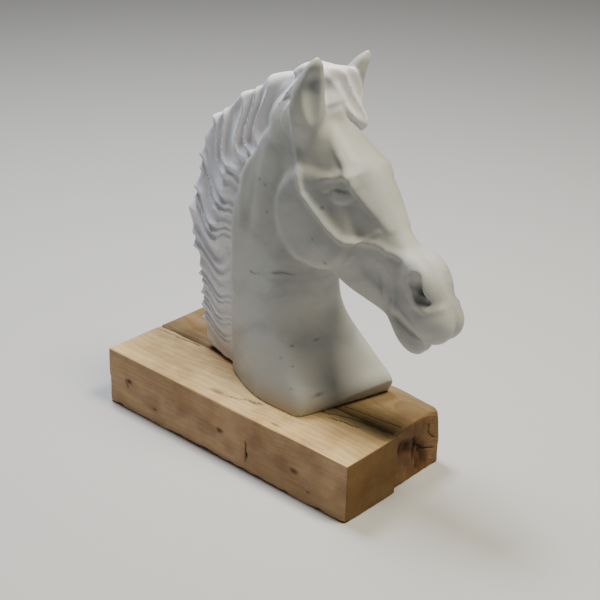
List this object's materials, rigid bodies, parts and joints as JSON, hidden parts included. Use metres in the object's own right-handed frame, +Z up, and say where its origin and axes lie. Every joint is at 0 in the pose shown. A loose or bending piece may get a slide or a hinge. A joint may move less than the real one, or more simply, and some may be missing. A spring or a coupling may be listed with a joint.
{
  "type": "horse head sculpture",
  "caption": "Marble head and neck of a horse with an upright carved mane, pricked ears and swept forelock, standing on rough-sawn timber beams.",
  "frame": {"origin": "on the underside of the beams, below the middle of the whole object in plan", "axes": "+Z up; +X along the beams, the way the horse looks; +Y towards the horse's left, the far side of the picture"},
  "size_m": [0.4836, 0.19, 0.5273],
  "materials": {
    "marble": "satin, hand rubbed, with faint grey veins",
    "sawn_timber": "rough sawn, unfinished"
  },
  "bodies": {
    "root": {"horse_head": "marble", "near_beam": "sawn_timber", "far_beam": "sawn_timber"}
  },
  "joints": []
}
